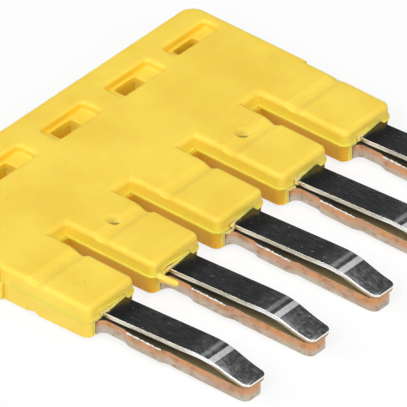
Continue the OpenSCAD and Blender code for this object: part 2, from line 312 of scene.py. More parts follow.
def away_from(tree, across, first):
    """Distance from the nearest of a row of places one pitch apart, in pitches."""
    turn = math_node(tree, "DIVIDE", math_node(tree, "SUBTRACT", across, first - pitch / 2), pitch)
    return size_of(tree, math_node(tree, "SUBTRACT", math_node(tree, "FRACT", turn), 0.5))


def within(tree, across, limit):
    """One up to a limit on either side of the part's middle, zero beyond."""
    return math_node(tree, "LESS_THAN", size_of(tree, across), limit)


def slot_painted_share(tree, parts):
    """Share of painted light and shade: one on the walls of the slots between the fingers, zero elsewhere."""
    edge = SLOT_WIDTH / 2 / pitch
    inside = spread(tree, away_from(tree, parts["X"], pole_x[0] + pitch / 2), edge + SLOT_BLUR, edge)
    ahead = spread(tree, parts["Y"], *SLOT_AHEAD)
    inner = within(tree, parts["X"], pole_x[-1])
    below = spread(tree, parts["Z"], *SLOT_BELOW)
    return times(tree, inside, ahead, inner, below, spread(tree, parts["Z"], *SLOT_ABOVE))


def window_bounce_share(tree, parts):
    """Share of painted bounce light: one on the walls of the windows behind the poles, less on their floors,
    zero elsewhere.
    """
    below = spread(tree, parts["Z"], *WINDOW_BELOW)
    behind = math_node(tree, "SUBTRACT", rear_y, parts["Y"])
    inside = times(tree, math_node(tree, "GREATER_THAN", behind, WINDOW_ZONE[0]),
                   math_node(tree, "LESS_THAN", behind, WINDOW_ZONE[1]))
    inner = within(tree, parts["X"], pole_x[-1] + WINDOW_OUTER)
    wall = spread(tree, size_of(tree, facing(tree)["Y"]), *WALL_TURN, WINDOW_FLOOR_BOUNCE, 1.0)
    return times(tree, below, inside, inner, wall)


def root_light_share(tree, parts):
    """Share of painted light: one on the front wall of the upper half above each strip, zero elsewhere."""
    near = spread(tree, away_from(tree, parts["X"], pole_x[0]), *ROOT_NEAR)
    ahead = spread(tree, parts["Y"], *ROOT_AHEAD)
    below = spread(tree, parts["Z"], *ROOT_BELOW)
    return times(tree, near, ahead, below, math_node(tree, "GREATER_THAN", parts["Z"], parting_z))


print("%d slots, %d windows" % (len(pole_x) - 1, len(pole_x)))

# %% [markdown]
# Now the plastic itself. It is made twice: once for the housing, and once, a little paler, for the thin
# flash that was squeezed out beside the metal.

# %% Yellow plastic
SPECKS = ((-12.36 * MM, front_y + 2.23 * MM), (-8.84 * MM, front_y + 11.67 * MM))
SPECK_SIZE = 0.045 * MM
SPECK_CORE = 0.6 * SPECK_SIZE
SPECK_BROWN = (0.12, 0.07, 0.02)
# Painted shade of the lower slot walls, and painted light of the upper ones.
SLOT_SHADE_ORANGE = (0.74, 0.42, 0.018)
SLOT_LIGHT_YELLOW = (0.93, 0.69, 0.07)
# Painted bounce light of the window walls.
WINDOW_BOUNCE_ORANGE = (0.97, 0.63, 0.04)
# Painted light of the front wall above the strips.
ROOT_LIGHT_YELLOW = (0.98, 0.72, 0.09)
# Painted shade in the gates' cracks and dishes.
GATE_SHADE_BROWN = (0.14, 0.075, 0.012)
FLAKE_CREAM = (0.95, 0.88, 0.62)
CLOUD_SCALE, WAVE_SCALE, GRAIN_SCALE = 260.0, 700.0, 9000.0
WAVE_HEIGHT = 1.5
PARTING_FADE = (parting_z - 0.05 * MM, parting_z + 0.1 * MM)


def moulded_yellow(name, dark, light, soft, pale=None):
    """Yellow plastic between two tones; pale is the tone of its ragged parts."""
    material, tree, inputs, place = new_material(name)
    parts = split(tree, place)
    clouds = noise(tree, place, CLOUD_SCALE, 3.0, 0.55)
    tone = mix_colour(tree, spread(tree, clouds, *NOISE_RANGE), dark, light)
    for x, y in SPECKS:
        gap = add(tree, "ShaderNodeVectorMath", {"operation": "DISTANCE"}, _0=place, _1=(x, y, top_z))
        speck = spread(tree, gap.outputs["Value"], SPECK_SIZE, SPECK_CORE)
        tone = mix_colour(tree, speck, tone, SPECK_BROWN)
    # Painted shade on the lower slot walls turns to painted light on the upper ones.
    above = spread(tree, parts["Z"], *PARTING_FADE)
    painted_slot_tone = mix_colour(tree, above, SLOT_SHADE_ORANGE, SLOT_LIGHT_YELLOW)
    # Painted light and shade on the slot walls, the window walls, the front wall above the strips and the
    # gates' cracks and dishes; the flake's cream is its own colour.
    for share, second in ((slot_painted_share(tree, parts), painted_slot_tone), (window_bounce_share(tree, parts), WINDOW_BOUNCE_ORANGE),
                          (root_light_share(tree, parts), ROOT_LIGHT_YELLOW), (mark(tree, "gate_shade"), GATE_SHADE_BROWN),
                          (mark(tree, "flake"), FLAKE_CREAM)):
        tone = mix_colour(tree, share, tone, second)
    grain = noise(tree, place, GRAIN_SCALE)
    if pale:
        torn = times(tree, mark(tree, "ragged"), spread(tree, grain, 0.35, 0.6, 0.3, 0.7))
        tone = mix_colour(tree, torn, tone, pale)
    height = math_node(tree, "MULTIPLY_ADD", noise(tree, place, WAVE_SCALE, 1.0), WAVE_HEIGHT, grain)
    fill(tree, inputs, Base_Color=tone, Roughness=spread(tree, grain, 0.0, 1.0, 0.40, 0.56),
         Normal=bumps(tree, height, 0.12, 0.02 * MM), Specular_IOR_Level=0.35, Subsurface_Weight=soft,
         Subsurface_Radius=(1.0, 0.6, 0.1), Subsurface_Scale=0.6 * MM)
    return material


yellow = moulded_yellow("moulded_yellow", (0.84, 0.59, 0.07), (0.91, 0.675, 0.095), 0.55)
cream = moulded_yellow("thin_flash", (0.86, 0.60, 0.09), (0.93, 0.70, 0.15), 0.6, pale=(0.74, 0.54, 0.22))
print("two plastics:", yellow.name, cream.name)

# %% [markdown]
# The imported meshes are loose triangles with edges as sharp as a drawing, but with exact normals. Every
# softened piece starts from a copy whose corners are welded; then chosen edges are rounded. The faces that
# are left keep their exact normals, and the new ones turn smoothly from one neighbour to the other.

# %% Helpers for welded copies
ROUNDED = 1
WELD = 0.002 * MM
FLAT = math.radians(0.2)
# How nearly alike two normals are (as a cosine) for one to count beside the other.
LIKE_KEPT, LIKE_NEW = 0.6, 0.3


def welded_copy(node):
    """Working mesh of a CAD node: corners welded, flat faces made whole, normals kept at each corner."""
    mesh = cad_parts[node].data
    work = bmesh.new()
    work.from_mesh(mesh)
    exact = work.loops.layers.float_vector.new("exact_normal")
    for face, polygon in zip(work.faces, mesh.polygons):
        face.material_index = 0
        for loop, number in zip(face.loops, polygon.loop_indices):
            loop[exact] = mesh.corner_normals[number].vector
    bmesh.ops.remove_doubles(work, verts=work.verts, dist=WELD)
    bmesh.ops.dissolve_limit(work, angle_limit=FLAT, verts=work.verts, edges=work.edges)
    return work


def round_edges(work, chosen, width, steps=3, careful=False):
    """Round edges; a careful rounding gets narrower where there is too little room."""
    bmesh.ops.bevel(work, geom=chosen, offset=width, segments=steps, profile=0.5, affect="EDGES",
                    clamp_overlap=careful, material=ROUNDED)
    work.normal_update()


def corner_normal(loop, exact):
    """Exact normal of a kept face; on a new face that of kept neighbours, or a mean of the new ones."""
    if loop.face.material_index != ROUNDED:
        return loop[exact]
    around = loop.vert.link_loops
    kept = [other[exact] for other in around if other.face.material_index != ROUNDED]
    kept = [normal for normal in kept if normal.dot(loop.face.normal) > LIKE_KEPT]
    new = [other.face for other in around if other.face.material_index == ROUNDED]
    new = [face.normal * face.calc_area() for face in new if face.normal.dot(loop.face.normal) > LIKE_NEW]
    return sum(kept or new, Vector()).normalized()


def make_rounded(faces):
    for face in faces:
        face.material_index = ROUNDED
    return len(faces)


def ring_faces(work, rings):
    """Faces between rings of corners that have the same number each."""
    made = []
    for first, last in zip(rings, rings[1:]):
        for k in range(len(first)):
            after = (k + 1) % len(first)
            made.append(work.faces.new((first[k], first[after], last[after], last[k])))
    return made


def finish_piece(name, work, material):
    """Object with the working mesh and its normals."""
    exact = work.loops.layers.float_vector["exact_normal"]
    normals = [corner_normal(loop, exact) for face in work.faces for loop in face.loops]
    for face in work.faces:
        face.material_index = 0
    mesh = bpy.data.meshes.new(name)
    work.to_mesh(mesh)
    work.free()
    mesh.attributes.remove(mesh.attributes["exact_normal"])
    mesh.materials.append(material)
    mesh.shade_smooth()
    mesh.normals_split_custom_set(normals)
    piece = bpy.data.objects.new(name, mesh)
    bpy.context.scene.collection.objects.link(piece)
    return piece


# %% [markdown]
# Behind each pole the upper half has a window with a hole in its floor. In the mould its rim, corners and
# floor edge are all rounded. So each window is cut out of the welded copy and built again as a stack of
# rings, each a rectangle with round corners, which runs from the upper face down to the parting line.

# %% Rounded windows
WINDOW_LENGTH = 4.05 * MM
WINDOW_WIDTH = 1.58 * MM
OUTER_WIDTH = 1.2 * MM
OUTER_SHIFT = 0.5 * MM
WINDOW_REAR = rear_y - 2.05 * MM
WINDOW_FLOOR = top_z - 0.55 * MM
HOLE_LENGTH = 2.0 * MM
HOLE_SHIFT = -0.3 * MM
HOLE_MARGIN = 0.18 * MM
RIM_ROUND = 0.2 * MM
FLOOR_ROUND = (0.24 * MM, 0.1 * MM, 0.16 * MM)
HOLE_ROUND = 0.06 * MM
HOLE_CORNER = 0.2 * MM
CORNER_ROUND = 0.34 * MM
CORNER_STEPS = 4
QUARTER = [math.radians(turn) for turn in (0, 30, 60, 90)]
RIM_STRETCH = 1.4
RIM_SPREAD = (1.8, 1.4)
WINDOW_SLACK = (0.2 * MM, 0.02 * MM)
HAIR = 0.01 * MM


def ring_points(x, y, half_x, half_y, radius, z):
    """Corners of a rectangle with round corners, from the +X side round to +Y."""
    points = []
    for quarter, (side_x, side_y) in enumerate(((1, 1), (-1, 1), (-1, -1), (1, -1))):
        for step in range(CORNER_STEPS + 1):
            turn = math.pi / 2 * (quarter + step / CORNER_STEPS)
            points.append((x + side_x * (half_x - radius) + radius * math.cos(turn),
                           y + side_y * (half_y - radius) + radius * math.sin(turn), z))
    return points


def window_rings(x, y, half_x, half_y):
    """Rings of a window: round its rim, down to its floor and through the hole to the parting line."""
    rings = []
    for turn in QUARTER:
        grow = RIM_ROUND * (1 - math.sin(turn))
        rings.append(ring_points(x, y, half_x + RIM_STRETCH * grow, half_y + grow, CORNER_ROUND + grow,
                                 top_z - RIM_ROUND * (1 - math.cos(turn))))
    for turn in QUARTER:
        shrink = 1 - math.cos(turn)
        rings.append(ring_points(x, y, half_x - FLOOR_ROUND[0] * shrink, half_y - FLOOR_ROUND[1] * shrink,
                                 CORNER_ROUND - FLOOR_ROUND[1] * shrink,
                                 WINDOW_FLOOR + FLOOR_ROUND[2] * (1 - math.sin(turn))))
    hole = [(HOLE_ROUND * (1 - math.sin(turn)), WINDOW_FLOOR - HOLE_ROUND * (1 - math.cos(turn)))
            for turn in QUARTER]
    for grow, z in hole + [(-HAIR, parting_z)]:
        rings.append(ring_points(x + HOLE_SHIFT, y, HOLE_LENGTH / 2 + grow, half_y - HOLE_MARGIN + grow,
                                 HOLE_CORNER + grow, z))
    return rings


def join_corners(work, corners, ring):
    """Flat faces between the four corners of an opening and the ring inside it."""
    made = []
    middle = sum((corner.co for corner in corners), Vector()) / 4
    corners = sorted(corners, key=lambda c: math.atan2(c.co.y - middle.y, c.co.x - middle.x) % (2 * math.pi))
    span = CORNER_STEPS + 1
    for k in range(4):
        arc = ring[k * span:(k + 1) * span]
        made += [work.faces.new((corners[k], first, last)) for first, last in zip(arc, arc[1:])]
        after = ring[(k + 1) * span % len(ring)]
        made.append(work.faces.new((corners[k], arc[-1], after, corners[(k + 1) % 4])))
    return made


def rebuild_window(work, x, width):
    """Build a window again; returns how many faces were taken out and built."""
    y = WINDOW_REAR - width / 2
    half_x, half_y = WINDOW_LENGTH / 2, width / 2
    slack_x, slack_y = WINDOW_SLACK

    def inside(place):
        return abs(place.x - x) < half_x + slack_x and abs(place.y - y) < half_y + slack_y

    old = [face for face in work.faces if all(inside(corner.co) for corner in face.verts)
           and parting_z + HAIR < face.calc_center_median().z < top_z - HAIR]
    bmesh.ops.delete(work, geom=old, context="FACES")
    rim = [corner for corner in work.verts if inside(corner.co) and corner.co.z > top_z - HAIR]
    foot = [corner for corner in work.verts if inside(corner.co) and abs(corner.co.z - parting_z) < HAIR]
    for corner in rim:
        corner.co.x = x + math.copysign(half_x + RIM_SPREAD[0] * RIM_ROUND, corner.co.x - x)
        corner.co.y = y + math.copysign(half_y + RIM_SPREAD[1] * RIM_ROUND, corner.co.y - y)
    rings = [[work.verts.new(point) for point in ring] for ring in window_rings(x, y, half_x, half_y)]
    made = join_corners(work, rim, rings[0]) + join_corners(work, foot, rings[-1])
    return len(old), make_rounded(made + ring_faces(work, rings))


upper = welded_copy("upper_shell")
for number, x in enumerate(pole_x):
    outer = number in (0, len(pole_x) - 1)
    shift = -math.copysign(OUTER_SHIFT, x) if outer else 0
    counts = rebuild_window(upper, x + shift, OUTER_WIDTH if outer else WINDOW_WIDTH)
    print("window %d: %d faces taken out, %d built" % (number + 1, *counts))
bmesh.ops.recalc_face_normals(upper, faces=upper.faces)

# %% [markdown]
# The melt came in through two gates, and each left a dish with a torn stub in it: a pale flake, and beside
# it a crack. A dish is taken out of the copy and built again as rings that shrink towards its middle.
# Their height follows a smooth bowl plus the tear. Two attributes tell the plastic where the flake is and
# where shade is painted: dark in the crack and faint over the middle of the bowl.

# %% Torn gate marks
GATE_POLES = (1, 3)
GATE_SHIFT = -0.15 * MM
GATE_Y = front_y + 5.2 * MM
GATE_RADIUS = 0.475 * MM
GATE_RINGS = 11
BOWL_DEPTH = 0.13 * MM
BOWL_SHADE = 0.3
GATE_STRETCH = 1.2
TEAR_TURN = math.radians(-49)
# Middle and reach of the tear's parts across and along it, in millimetres.
CRACK_ACROSS, CRACK_ALONG = (-0.33, 0.11), (0.12, 0.30)
FLAKE_ACROSS, FLAKE_ALONG = (-0.08, 0.07), (0.38, 0.10)
FLAKE_RISE, CRACK_DEPTH = 0.05, 0.03
# The crack's share scales the painted shade in it.
FLAKE_SHARE, CRACK_SHADE_SHARE = 0.7, 1.9
# Height in millimetres, turns and share of the lean of the waves that make the tear jagged.
JAG_WAVES = ((0.025, 31, 1), (0.02, 67, 2))
BOWL_POWER = 1.5
DISH_SLACK, BORDER_SLACK = 1.01, 1.05


def hump(value, middle, reach):
    return math.exp(-((value - middle) / reach) ** 2)


def tear(along, across, lean):
    """Height in millimetres, share of painted crack shade and flake of a torn gate at a place in millimetres.
    """
    jag = sum(height * math.sin(turns * along + share * lean) for height, turns, share in JAG_WAVES)
    crack = hump(across - jag, *CRACK_ACROSS) * hump(along, *CRACK_ALONG)
    flake = hump(across - jag, *FLAKE_ACROSS) * hump(along, *FLAKE_ALONG)
    return FLAKE_RISE * flake - CRACK_DEPTH * crack, min(1, CRACK_SHADE_SHARE * crack), FLAKE_SHARE * flake


def rebuild_gate(work, x, lean):
    """Build a gate's dish again; returns how many faces were taken out and built."""
    gate_shade, flake = work.verts.layers.float["gate_shade"], work.verts.layers.float["flake"]
    middle = Vector((x, GATE_Y, 0))

    def reach(corner):
        return math.hypot(corner.co.x - middle.x, corner.co.y - middle.y)

    old = [face for face in work.faces if face.calc_center_median().z > WINDOW_FLOOR
           and all(reach(corner) < DISH_SLACK * GATE_RADIUS for corner in face.verts)]
    bmesh.ops.delete(work, geom=old, context="FACES")
    border = [corner for corner in work.verts
              if corner.is_boundary and reach(corner) < BORDER_SLACK * GATE_RADIUS]
    border.sort(key=lambda c: math.atan2(c.co.y - middle.y, c.co.x - middle.x))
    longwise = Vector((math.cos(TEAR_TURN), math.sin(TEAR_TURN), 0))
    for corner in border:
        corner.co += (corner.co - middle) * Vector((1, 1, 0)) * (GATE_STRETCH - 1)
    rings = [border]
    for k in range(1, GATE_RINGS):
        share = 1 - k / GATE_RINGS
        ring = []
        for corner in border:
            out = (corner.co - middle) * share
            along = longwise.dot(out) / MM
            across = (out.y * math.cos(TEAR_TURN) - out.x * math.sin(TEAR_TURN)) / MM
            rise, crack, pale = tear(along, across, lean)
            bowl = BOWL_DEPTH * (1 - share * share) ** BOWL_POWER
            made = work.verts.new((middle.x + out.x, middle.y + out.y, corner.co.z - bowl + rise * MM))
            # Painted shade: dark in the crack, faint over the middle of the bowl.
            made[gate_shade], made[flake] = max(crack, BOWL_SHADE * (1 - share)), pale
            ring.append(made)
        rings.append(ring)
    return len(old), make_rounded([work.faces.new(rings[-1])] + ring_faces(work, rings))


upper.verts.layers.float.new("gate_shade")
upper.verts.layers.float.new("flake")
for number in GATE_POLES:
    counts = rebuild_gate(upper, pole_x[number] + GATE_SHIFT, number)
    print("gate on pole %d: %d faces taken out, %d built" % (number + 1, *counts))
bmesh.ops.recalc_face_normals(upper, faces=upper.faces)

# %% [markdown]
# Across each finger runs a shallow groove. Where it meets the slot on its right it is scooped out deeper:
# it falls slowly from the rear and rises sharply at the front. The groove's rim has enough corners for
# that, so they are lowered along such a line, and the faces beside them get new normals. The wall below
# the rim is made one face first, because narrow faces would fold over when the rim comes down.

# %% Scooped ends of the grooves
# Distance behind the finger's front and depth there, in millimetres.
SCOOP_LINE = [(3.95, 0.0), (4.12, 0.22), (4.45, 0.24), (4.75, 0.14), (5.2, 0.0)]
SCOOP_INNER = 1.84 * MM
SCOOP_OUTER = 2.15 * MM
SCOOP_DEEP = 0.5 * MM
WALL_LEAN = 0.05
UPRIGHT = 0.972


def on_line(line, corner):
    """Value of a line at a corner's distance behind the finger's front, in metres."""
    return float(np.interp((corner.co.y - front_y) / MM, *zip(*line))) * MM


def join_wall(work, x):
    """Make one face of the upright wall at the right side of a finger, so that its rim can be lowered."""
    exact = work.loops.layers.float_vector["exact_normal"]
    wall = {face for face in work.faces if 0 < face.calc_center_median().x - x < pitch / 2
            and all(loop[exact].x > UPRIGHT for loop in face.loops)}
    seams = [edge for edge in work.edges if len(edge.link_faces) == 2 and set(edge.link_faces) <= wall]
    bmesh.ops.dissolve_edges(work, edges=seams)


def scoop_groove(work, x):
    """Lower the groove's rim at the right side of a finger; returns how many corners moved."""
    moved = set()
    for corner in work.verts:
        drop = on_line(SCOOP_LINE, corner)
        near = SCOOP_OUTER < corner.co.x - x < pitch / 2 and corner.co.z > top_z - SCOOP_DEEP
        if near and drop > 0:
            corner.co.z -= drop
            corner.co.x += WALL_LEAN * drop
            moved.add(corner)
    for face in {face for corner in moved for face in corner.link_faces}:
        if all(corner.co.x - x > SCOOP_INNER and corner.co.z > top_z - SCOOP_DEEP for corner in face.verts):
            face.material_index = ROUNDED
    return len(moved)


for x in pole_x[:-1]:
    join_wall(upper, x)
    print("scoop at %.2f mm: %d corners moved" % (x / MM, scoop_groove(upper, x)))
upper.normal_update()

# %% [markdown]
# Some forms of the housing differ a little from the solids. The right-hand front corners of the fingers
# are rounder than the left-hand ones, most of all in the lower half. The lower half's slot ends lie further
# back, so that only a narrow ledge shows, and the undersides of its fingers rise towards the front. All this
# is done by moving corners.

# %% Fingers and slot ends
LEDGE_PUSH = 0.13 * MM
LEDGE_ZONE = (-0.1 * MM, 0.4 * MM)
FINGER_HALF = 2.41 * MM
FINGER_CORNER = 0.6 * MM
UPPER_CORNER = 0.85 * MM
LOWER_CORNER = 1.1 * MM
CORNER_REACH = 1.2
# Distance behind the finger's front and rise there, in millimetres.
TAPER_LINE = [(0.0, 0.22), (1.0, 0.15), (3.0, 0.0)]
TAPER_TOP = 0.27 * MM


def push_slot_ends(work):
    """Move the slot ends back; returns how many corners moved."""
    slot_x = [(left + right) / 2 for left, right in zip(pole_x, pole_x[1:])]
    ends = [corner for corner in work.verts if min(abs(corner.co.x - x) for x in slot_x) < SLOT_WIDTH / 2
            and LEDGE_ZONE[0] < SLOT_END - corner.co.y < LEDGE_ZONE[1]]
    for corner in ends:
        corner.co.y += LEDGE_PUSH
    return len(ends)


def taper_fingers(work):
    """Let the underside of the fingers rise towards the front; returns how many corners moved."""
    moved = 0
    for corner in work.verts:
        rise = on_line(TAPER_LINE, corner)
        if rise > 0 and corner.co.z < TAPER_TOP:
            corner.co.z += rise * (1 - corner.co.z / TAPER_TOP)
            moved += 1
    return moved


def soften_corner(work, x, radius):
    """Give the right-hand front corner of a finger a larger radius; returns how many corners moved."""
    middle = Vector((x + FINGER_HALF - radius, front_y + radius, 0))
    spare = radius - FINGER_CORNER
    moved = 0
    for corner in work.verts:
        out = Vector((corner.co.x - middle.x, middle.y - corner.co.y))
        if 0 < out.x < CORNER_REACH * radius and 0 < out.y < CORNER_REACH * radius:
            aim = out.normalized()
            along = spare * (aim.x + aim.y)
            edge = along + math.sqrt(max(0, along ** 2 - 2 * spare ** 2 + FINGER_CORNER ** 2))
            if aim.x * edge < spare:
                edge = radius / aim.y
            elif aim.y * edge < spare:
                edge = radius / aim.x
            share = radius / edge
            corner.co.x, corner.co.y = middle.x + out.x * share, middle.y - out.y * share
            moved += 1
    return moved


lower = welded_copy("lower_shell")
print("slot ends: %d corners moved" % push_slot_ends(lower))
print("undersides: %d corners moved" % taper_fingers(lower))
for work, radius in ((upper, UPPER_CORNER), (lower, LOWER_CORNER)):
    print("finger corners: %d corners moved" % sum(soften_corner(work, x, radius) for x in pole_x))

# %% [markdown]
# Between the fingers the slots end in hollow, rounded corners, in both halves. There the plain rounding
# tool is enough. The edges along the parting line stay sharp, as the two mould halves leave them.

# %% Slot corners, and both halves of the housing
SLOT_LEDGE = 0.25 * MM
SLOT_ROUND = 0.2 * MM
HOLLOW = math.radians(-50)
SLOT_BOTTOM = 0.2 * parting_z
PARTING_MARGIN = 0.08 * MM
# How far from the slot's end an edge may lie, and how steep it has to be.
UPPER_SEARCH = (0.6 * MM, 0.3)
LOWER_SEARCH = (0.1 * MM, 0.9)


def slot_corners(work, end_y, reach, steepness):
    """Hollow edges at the slot ends that run up the wall."""
    found = []
    for edge in work.edges:
        first, last = (corner.co for corner in edge.verts)
        middle = (first + last) / 2
        if abs(middle.y - end_y) < reach and abs(middle.x) < pole_x[-1] and middle.z > SLOT_BOTTOM:
            steep = abs((last - first).normalized().z) > steepness
            if steep and edge.calc_face_angle_signed(0) < HOLLOW:
                found.append(edge)
    return found


upper_corners = [edge for edge in slot_corners(upper, SLOT_END, *UPPER_SEARCH)
                 if min(corner.co.z for corner in edge.verts) > parting_z + PARTING_MARGIN]
lower_corners = slot_corners(lower, SLOT_END - SLOT_LEDGE + LEDGE_PUSH, *LOWER_SEARCH)
round_edges(upper, upper_corners, SLOT_ROUND)
round_edges(lower, lower_corners, SLOT_ROUND)
for node, work in (("upper_shell", upper), ("lower_shell", lower)):
    shell = finish_piece(node + "_moulded", work, yellow)
    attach(shell, "housing")
    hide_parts(node)
    print("%s: %d faces" % (shell.name, len(shell.data.polygons)))

# %% [markdown]
# The comb is punched from copper sheet that was tinned on both faces. Only the punched edge shows bare
# copper, and the punch drags tin over its lower part, so the edge has two colours with a ragged border.
# The finish reads the height within the sheet and the way a surface faces, so it needs no unwrapping.
# Under the strips the upper face gets painted shade, dark near the fingers and olive-brown further out.

# %% Tinned copper
COMB_THICKNESS = 0.95 * MM
TONGUE_DROP = copper_z - COMB_THICKNESS - comb_low.z
# Distances in front of the finger, in millimetres: slope and tip of a tongue, and where tones and the painted
# shade of the upper face fade.
SLOPE_START = 5.4
TONGUE_LENGTH = 11.3
ROOT_TIN = (1.4, 2.2)
FACE_SHADE_FADE = (3.0, 8.5)
BARE_FROM, BARE_TO = 0.60, 1.12
# Scale, detail and share of the noises that make the border of the bare copper ragged.
BORDER_NOISES = ((520.0, 2.0, 0.55), (2200.0, 3.0, 0.3))
BLUSH_SCALE, SPOT_SCALE, FINE_SCALE = 800.0, 2400.0, 12000.0
COPPER_TONES = (0.68, 0.33, 0.15), (0.58, 0.335, 0.21)
TIN_TONES = (0.55, 0.49, 0.40), (0.49, 0.39, 0.30)
# Painted shade of the upper face under the strips, from dark to olive-brown.
UPPER_FACE_SHADE_TONES = (0.10, 0.085, 0.055), (0.44, 0.345, 0.175)
SPOT_BROWN = (0.30, 0.15, 0.07)


def distance_from_front(tree, place):
    """How far a point lies in front of the fingers, in millimetres."""
    return times(tree, math_node(tree, "SUBTRACT", front_y, split(tree, place)["Y"]), 1 / MM)


def stretched(tree, place, along):
    """Coordinates squeezed along the contacts, so that a noise turns into marks that run lengthwise."""
    return add(tree, "ShaderNodeMapping", Vector=place, Scale=(1.0, along, 1.0)).outputs[0]


def height_in_sheet(tree, place, ahead):
    """Zero at the lower face of the sheet and one at the upper face, with ragged noise added."""
    drop = add(tree, "ShaderNodeMapRange", Value=ahead, From_Min=SLOPE_START, From_Max=TONGUE_LENGTH,
               To_Min=0.0, To_Max=TONGUE_DROP).outputs[0]
    above = math_node(tree, "SUBTRACT", split(tree, place)["Z"], copper_z - COMB_THICKNESS)
    height = math_node(tree, "DIVIDE", math_node(tree, "ADD", above, drop), COMB_THICKNESS)
    for scale, detail, share in BORDER_NOISES:
        height = math_node(tree, "MULTIPLY_ADD", noise(tree, place, scale, detail), share, height)
    return math_node(tree, "SUBTRACT", height, spread(tree, ahead, *ROOT_TIN, 0.12, 0.0))


def tinned_copper():
    material, tree, inputs, place = new_material("tinned_copper")
    ahead = distance_from_front(tree, place)
    bare = spread(tree, height_in_sheet(tree, place, ahead), BARE_FROM, BARE_TO)
    up = facing(tree)["Z"]
    is_edge = spread(tree, size_of(tree, up), 0.75, 0.45)
    blush = spread(tree, noise(tree, place, BLUSH_SCALE, 3.0, 0.6), 0.35, 0.65)
    spots = noise(tree, stretched(tree, place, 0.6), SPOT_SCALE, 4.0, 0.65)
    spots = spread(tree, spots, 0.46, 0.72)
    tin = mix_colour(tree, blush, *TIN_TONES)
    edge = mix_colour(tree, bare, tin, mix_colour(tree, blush, *COPPER_TONES))
    edge = mix_colour(tree, times(tree, spots, 0.55), edge, SPOT_BROWN)
    # Painted shade on the upper face under the strips; faces that look down stay tin.
    face = mix_colour(tree, spread(tree, ahead, *FACE_SHADE_FADE), *UPPER_FACE_SHADE_TONES)
    face = mix_colour(tree, spread(tree, up, -0.3, 0.3), tin, face)
    fill(tree, inputs, Base_Color=mix_colour(tree, is_edge, face, edge),
         Roughness=spread(tree, spots, 0.0, 1.0, 0.32, 0.48),
         Metallic=spread(tree, is_edge, 0.0, 1.0, 0.6, 1.0),
         Normal=bumps(tree, noise(tree, place, FINE_SCALE, 2.0), 0.25, 0.01 * MM))
    return material


comb_finish = tinned_copper()
print("comb's finish:", comb_finish.name)

# %% [markdown]
# A punch leaves a small roll-over along every edge of the comb. Rounding the sharp edges of a welded copy
# gives that roll-over, and it also catches the thin bright line by which the eye knows a metal edge.

# %% Copper comb with rolled edges
EDGE_ROLL = 0.05 * MM
SHARP = math.radians(40)


def make_comb():
    work = welded_copy("copper_comb")
    rolled = [edge for edge in work.edges if edge.calc_face_angle(0) > SHARP]
    round_edges(work, rolled, EDGE_ROLL, 2, careful=True)
    bmesh.ops.dissolve_degenerate(work, dist=WELD, edges=work.edges)
    comb = finish_piece("copper_comb_rolled", work, comb_finish)
    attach(comb, "housing")
    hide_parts("copper_comb")
    print("comb: %d faces, %d edges rolled" % (len(comb.data.polygons), len(rolled)))


make_comb()

# %% [markdown]
# The strips are blanked from bright spring steel. Their faces mirror the dark room, with fine rubbing
# marks; the press tool left two pale lines across each strip where it bends to the toe, and the toe is
# scuffed by use. Towards the root the steel gets painted shade, so that it mirrors no yellow wall there.
# The punched edges are matt and paler; near the tip their lower part turns orange, a painted reflection
# of the copper below. All this is placed by the distance from the finger, in millimetres.

# %% Spring steel
FAINT_LINE, FAINT_BLUR, FAINT_SHARE = (7.76, 8.08), 0.12, 0.36
STRONG_LINE, STRONG_BLUR, STRONG_SHARE = (8.38, 8.82), 0.03, 0.88
TOE_SCUFF, BOW_SCUFF = (8.9, 9.0), (6.2, 7.4)
NEAR_ROOT_FADE, AT_ROOT_FADE, CUT_ROOT_FADE = (2.6, 0.8), (1.1, 0.4), (2.6, 0.6)
CUT_TOE_FADE, SHEAR_FADE, COPPER_REFLECTION_FADE = (6.2, 7.6), (9.4, 8.0), (9.8, 11.0)
RUB_SCALE, MOTTLE_SCALE, SCUFF_SCALE, FLECK_SCALE, STREAK_SCALE = 6000.0, 6500.0, 3200.0, 5200.0, 9000.0
STEEL_TONES = (0.30, 0.305, 0.31), (0.46, 0.465, 0.47)
# Painted shade near the root, so that the steel mirrors no yellow wall there.
NEAR_ROOT_SHADE = (0.17, 0.17, 0.175)
AT_ROOT_SHADE = (0.125, 0.133, 0.18)
RUBBED = (0.60, 0.60, 0.59)
CUT_TONES = (0.50, 0.47, 0.37), (0.74, 0.71, 0.60)
CUT_AT_ROOT = (0.88, 0.85, 0.74)
# Torn tone of the edge, and the orange it turns near the tip, a painted reflection of the copper below.
TORN_AND_REFLECTED_COPPER_TONES = (0.36, 0.29, 0.18), (0.48, 0.28, 0.14)
SHEARED = (0.95, 0.95, 0.94)


def between(tree, value, limits, blur):
    """One inside the limits and zero outside, with blurred ends."""
    rise = spread(tree, value, limits[0] - blur, limits[0] + blur)
    fall = spread(tree, value, limits[1] - blur, limits[1] + blur, 1.0, 0.0)
    return times(tree, rise, fall)


